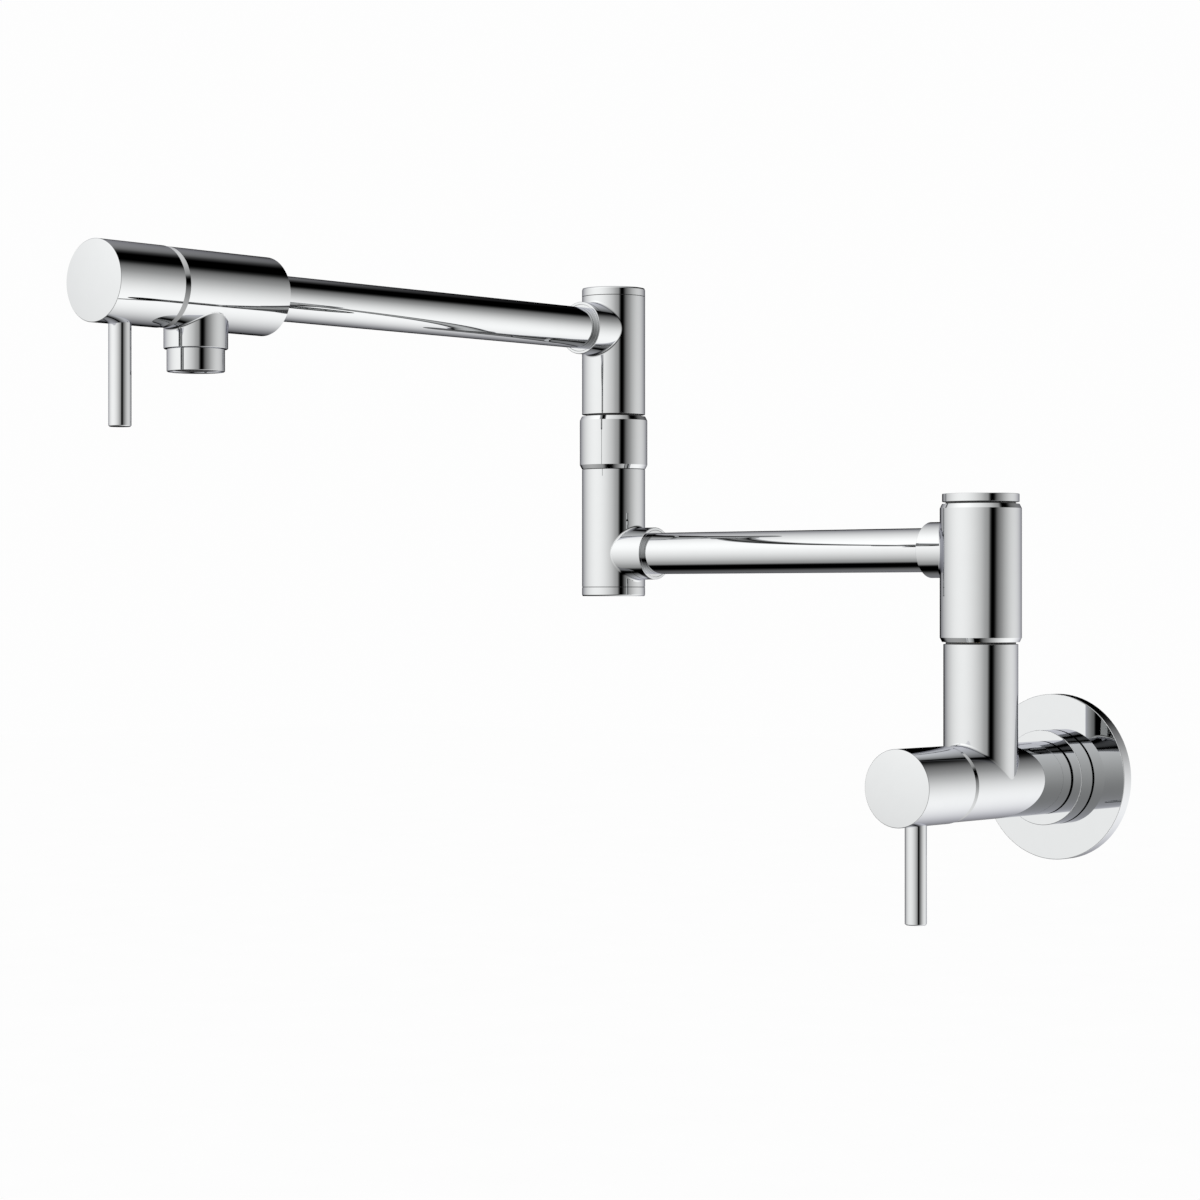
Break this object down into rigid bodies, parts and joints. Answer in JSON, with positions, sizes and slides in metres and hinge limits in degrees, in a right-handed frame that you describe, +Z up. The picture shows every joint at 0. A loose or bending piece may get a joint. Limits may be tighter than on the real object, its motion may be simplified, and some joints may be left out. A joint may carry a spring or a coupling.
{
  "type": "pot filler",
  "caption": "Wall-mounted chrome pot filler: shut-off valve and column, two swinging arms with a tall swivel between them, and an end tap with a spout.",
  "frame": {"origin": "centre of the water inlet on the wall plane, at the back face of the cover plate", "axes": "+Y into the wall along the inlet, +Z up, the folded-out lower arm points along -X"},
  "size_m": [0.2629, 0.3981, 0.2852],
  "materials": {
    "chrome": "polished chrome plate",
    "tube_chrome": "polished chrome-plated tube",
    "brass": "machined brass",
    "steel": "plain steel",
    "ceramic": "lapped ceramic",
    "rubber": "black rubber",
    "nylon": "white bearing plastic",
    "dark_plastic": "dark grey plastic"
  },
  "bodies": {
    "wall_valve": {"wall_flange": "chrome", "flange_gasket": "rubber", "flange_collar": "chrome", "inlet_nipple": "brass", "inlet_washer": "rubber", "valve_body": "chrome", "valve_cartridge": "brass", "valve_fixed_disc": "ceramic", "valve_seat_seal": "rubber", "column_post": "brass", "column_o_rings": "rubber", "column_thrust_washers": "dark_plastic", "column_cap": "chrome"},
    "wall_handle": {"valve_spindle": "brass", "valve_spindle_o_ring": "rubber", "valve_spindle_clip": "steel", "valve_moving_disc": "ceramic", "valve_handle": "chrome", "valve_lever": "chrome", "valve_grub_screw": "steel"},
    "lower_arm": {"swivel_sleeve": "chrome", "column_bushes": "nylon", "lower_arm_tube": "tube_chrome", "lower_arm_lock_rings": "chrome", "lower_arm_seals": "rubber", "joint_lower_body": "chrome", "joint_bottom_cap": "chrome", "joint_cover_ring": "chrome", "joint_post": "brass", "joint_o_rings": "rubber", "joint_thrust_washer": "dark_plastic", "joint_circlip": "steel"},
    "upper_arm": {"joint_upper_body": "chrome", "joint_bushes": "nylon", "joint_top_cap": "chrome", "upper_arm_tube": "tube_chrome", "upper_arm_lock_rings": "chrome", "upper_arm_seals": "rubber", "head_body": "chrome", "head_cartridge": "brass", "head_fixed_disc": "ceramic", "head_seat_seal": "rubber", "aerator_housing": "chrome", "aerator_insert": "dark_plastic", "aerator_gasket": "rubber"},
    "head_handle": {"head_spindle": "brass", "head_spindle_o_ring": "rubber", "head_spindle_clip": "steel", "head_moving_disc": "ceramic", "head_handle": "chrome", "head_lever": "chrome", "head_grub_screw": "steel"}
  },
  "joints": [
    {"name": "wall_handle_turn", "type": "hinge", "parent": "wall_valve", "child": "wall_handle", "pos_m": [0, -0.0909, 0], "axis": [0, -1, 0], "range_deg": [0, 90]},
    {"name": "lower_arm_swing", "type": "hinge", "parent": "wall_valve", "child": "lower_arm", "pos_m": [0, -0.063, 0.0609], "axis": [0, 0, 1], "range_deg": [-10, 190]},
    {"name": "upper_arm_swing", "type": "hinge", "parent": "lower_arm", "child": "upper_arm", "pos_m": [-0.2092, -0.063, 0.1671], "axis": [0, 0, 1], "continuous": true},
    {"name": "head_handle_turn", "type": "hinge", "parent": "upper_arm", "child": "head_handle", "pos_m": [-0.2092, -0.3489, 0.207], "axis": [0, -1, 0], "range_deg": [0, 90]}
  ]
}
